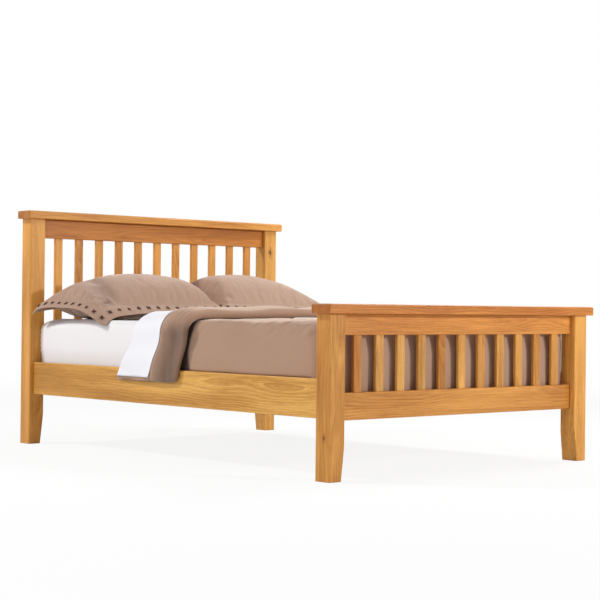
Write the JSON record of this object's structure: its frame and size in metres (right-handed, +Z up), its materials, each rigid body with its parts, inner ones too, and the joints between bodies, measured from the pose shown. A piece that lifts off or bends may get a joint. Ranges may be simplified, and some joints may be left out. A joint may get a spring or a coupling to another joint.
{
  "type": "slatted panel bed",
  "caption": "Oak double bed with slatted headboard and footboard, mattress, duvet, turned back top sheet and pillows.",
  "frame": {"origin": "on the floor, below the middle of the whole bed's bounding box", "axes": "+X across the bed, from the left side rail to the right one as seen from the foot; +Y along the bed, from foot to head; +Z up"},
  "size_m": [1.504, 2.088, 1.05],
  "materials": {
    "oak_post": "satin lacquer, grain along the post",
    "oak_cap": "satin lacquer, grain across the bed",
    "oak_cross_rail": "satin lacquer, grain across the bed",
    "oak_slat": "satin lacquer, grain upright",
    "oak_side_rail": "satin lacquer, grain along the bed",
    "pine": "sawn and planed, unfinished",
    "beech": "unfinished",
    "black_steel": "black powder coat",
    "zinc_steel": "bright zinc plate",
    "white_cover": "fitted cotton sheet over the mattress",
    "white_cotton": "plain woven cotton",
    "duvet_cotton": "plain woven cotton, filled",
    "pillow_cotton": "plain woven cotton with dark cross stitches"
  },
  "bodies": {
    "root": {"base_slat_01": "pine", "base_slat_02": "pine", "base_slat_03": "pine", "base_slat_04": "pine", "base_slat_05": "pine", "base_slat_06": "pine", "base_slat_07": "pine", "base_slat_08": "pine", "base_slat_09": "pine", "base_slat_10": "pine", "base_slat_11": "pine", "base_slat_12": "pine", "beam_hangers": "black_steel", "bracket_bolts": "zinc_steel", "centre_beam": "pine", "corner_brackets": "black_steel", "duvet": "duvet_cotton", "duvet_turned_back": "duvet_cotton", "foot_post_left": "oak_post", "foot_post_right": "oak_post", "footboard_bottom_rail": "oak_cross_rail", "footboard_cap": "oak_cap", "footboard_slat_01": "oak_slat", "footboard_slat_02": "oak_slat", "footboard_slat_03": "oak_slat", "footboard_slat_04": "oak_slat", "footboard_slat_05": "oak_slat", "footboard_slat_06": "oak_slat", "footboard_slat_07": "oak_slat", "footboard_slat_08": "oak_slat", "footboard_slat_09": "oak_slat", "footboard_slat_10": "oak_slat", "footboard_slat_11": "oak_slat", "footboard_top_rail": "oak_cross_rail", "head_post_left": "oak_post", "head_post_right": "oak_post", "headboard_bottom_rail": "oak_cross_rail", "headboard_cap": "oak_cap", "headboard_slat_01": "oak_slat", "headboard_slat_02": "oak_slat", "headboard_slat_03": "oak_slat", "headboard_slat_04": "oak_slat", "headboard_slat_05": "oak_slat", "headboard_slat_06": "oak_slat", "headboard_slat_07": "oak_slat", "headboard_slat_08": "oak_slat", "headboard_slat_09": "oak_slat", "headboard_slat_10": "oak_slat", "headboard_slat_11": "oak_slat", "headboard_top_rail": "oak_cross_rail", "ledger_left": "pine", "ledger_right": "pine", "mattress": "white_cover", "pillow_left": "pillow_cotton", "pillow_right": "pillow_cotton", "side_rail_left": "oak_side_rail", "side_rail_right": "oak_side_rail", "top_sheet": "white_cotton", "wood_dowels": "beech", "wood_screws": "zinc_steel"}
  },
  "joints": []
}
